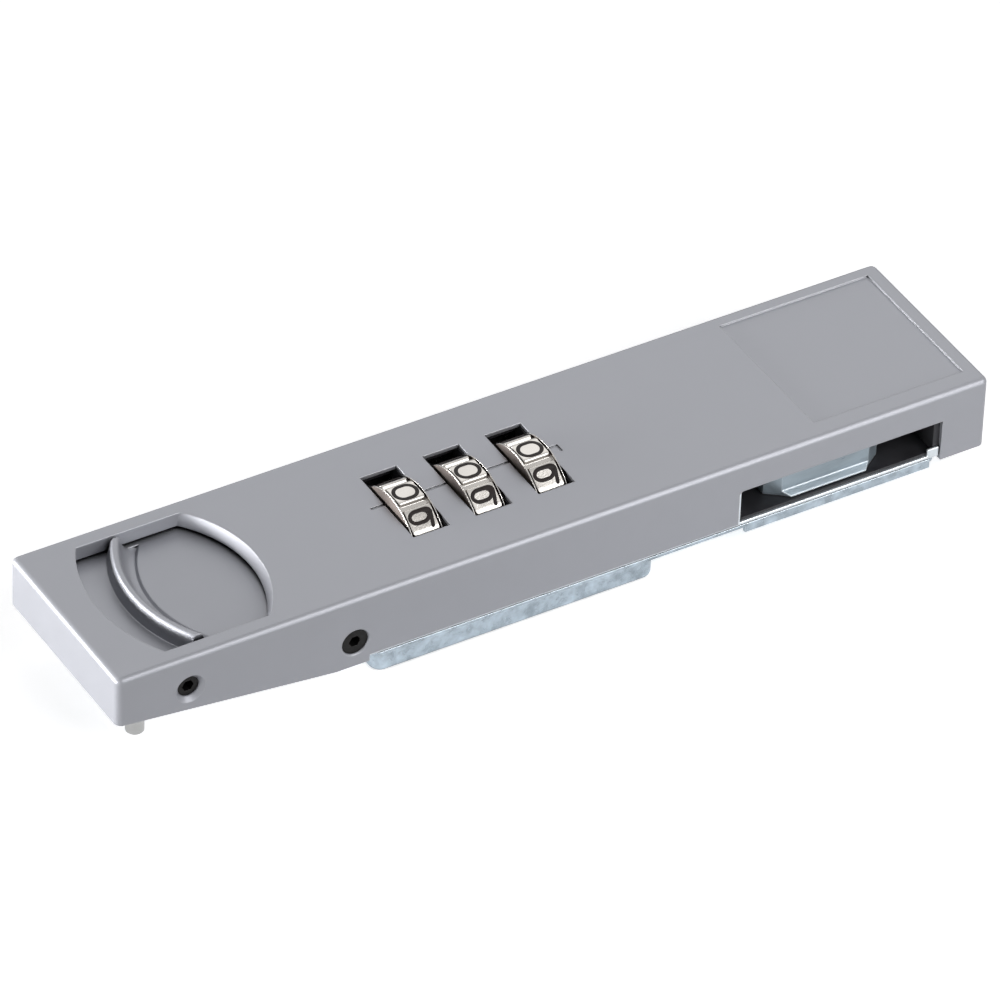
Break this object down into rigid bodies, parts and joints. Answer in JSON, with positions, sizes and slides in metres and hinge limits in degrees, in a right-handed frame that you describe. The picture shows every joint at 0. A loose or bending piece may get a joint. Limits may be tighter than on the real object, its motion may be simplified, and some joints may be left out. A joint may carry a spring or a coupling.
{
  "type": "combination lock",
  "caption": "Long flat surface-mounted combination lock with number wheels in the face, a scooped thumb slide at the thin end and a sprung bolt in a side notch.",
  "frame": {"origin": "middle of the lock's footprint, level with the underside of the dial pan", "axes": "+X from the thumb slide towards the bolt end, +Z out of the numbered front face, -Y towards the side with the hasp notch"},
  "size_m": [0.15, 0.0326, 0.0182],
  "materials": {
    "painted_casting": "satin silver grey paint on zinc die casting",
    "zinc_plate": "bright bluish zinc plating",
    "bright_steel": "bright steel",
    "spring_steel": "spring steel",
    "black_steel": "black oxide",
    "black_plastic": "matt black moulding",
    "nickel": "bright nickel plating",
    "brass": "turned"
  },
  "bodies": {
    "housing": {"body_shell": "painted_casting", "base_plate": "zinc_plate", "pan_plate": "zinc_plate", "dial_cradle": "black_plastic", "detent_spring": "spring_steel", "slide_cover": "zinc_plate", "cover_screws": "bright_steel", "base_screws": "bright_steel", "plate_rivets": "bright_steel", "bolt_guide": "black_plastic", "small_set_screw": "black_steel", "large_set_screw": "black_steel", "locating_studs": "bright_steel", "return_spring": "spring_steel"},
    "slide": {"thumb_slide": "painted_casting", "slide_spindle": "bright_steel", "spindle_pin": "bright_steel", "bolt": "zinc_plate", "bolt_pin": "bright_steel", "spring_collar": "bright_steel"},
    "dial_1": {"number_wheel_1": "nickel", "wheel_sleeve_1": "brass"},
    "dial_2": {"number_wheel_2": "nickel", "wheel_sleeve_2": "brass"},
    "dial_3": {"number_wheel_3": "nickel", "wheel_sleeve_3": "brass"}
  },
  "joints": [
    {"name": "thumb_slide_travel", "type": "slide", "parent": "housing", "child": "slide", "axis": [-1, 0, 0], "range_m": [0, 0.0034], "stiffness_N_per_m": 400, "springref_m": -0.003, "deforming": ["return_spring"]},
    {"name": "dial_1_turn", "type": "hinge", "parent": "housing", "child": "dial_1", "pos_m": [-0.01752, 0, 0.0096], "axis": [1, 0, 0], "continuous": true},
    {"name": "dial_2_turn", "type": "hinge", "parent": "housing", "child": "dial_2", "pos_m": [-0.0068, 0, 0.0096], "axis": [1, 0, 0], "continuous": true},
    {"name": "dial_3_turn", "type": "hinge", "parent": "housing", "child": "dial_3", "pos_m": [0.00392, 0, 0.0096], "axis": [1, 0, 0], "continuous": true}
  ]
}
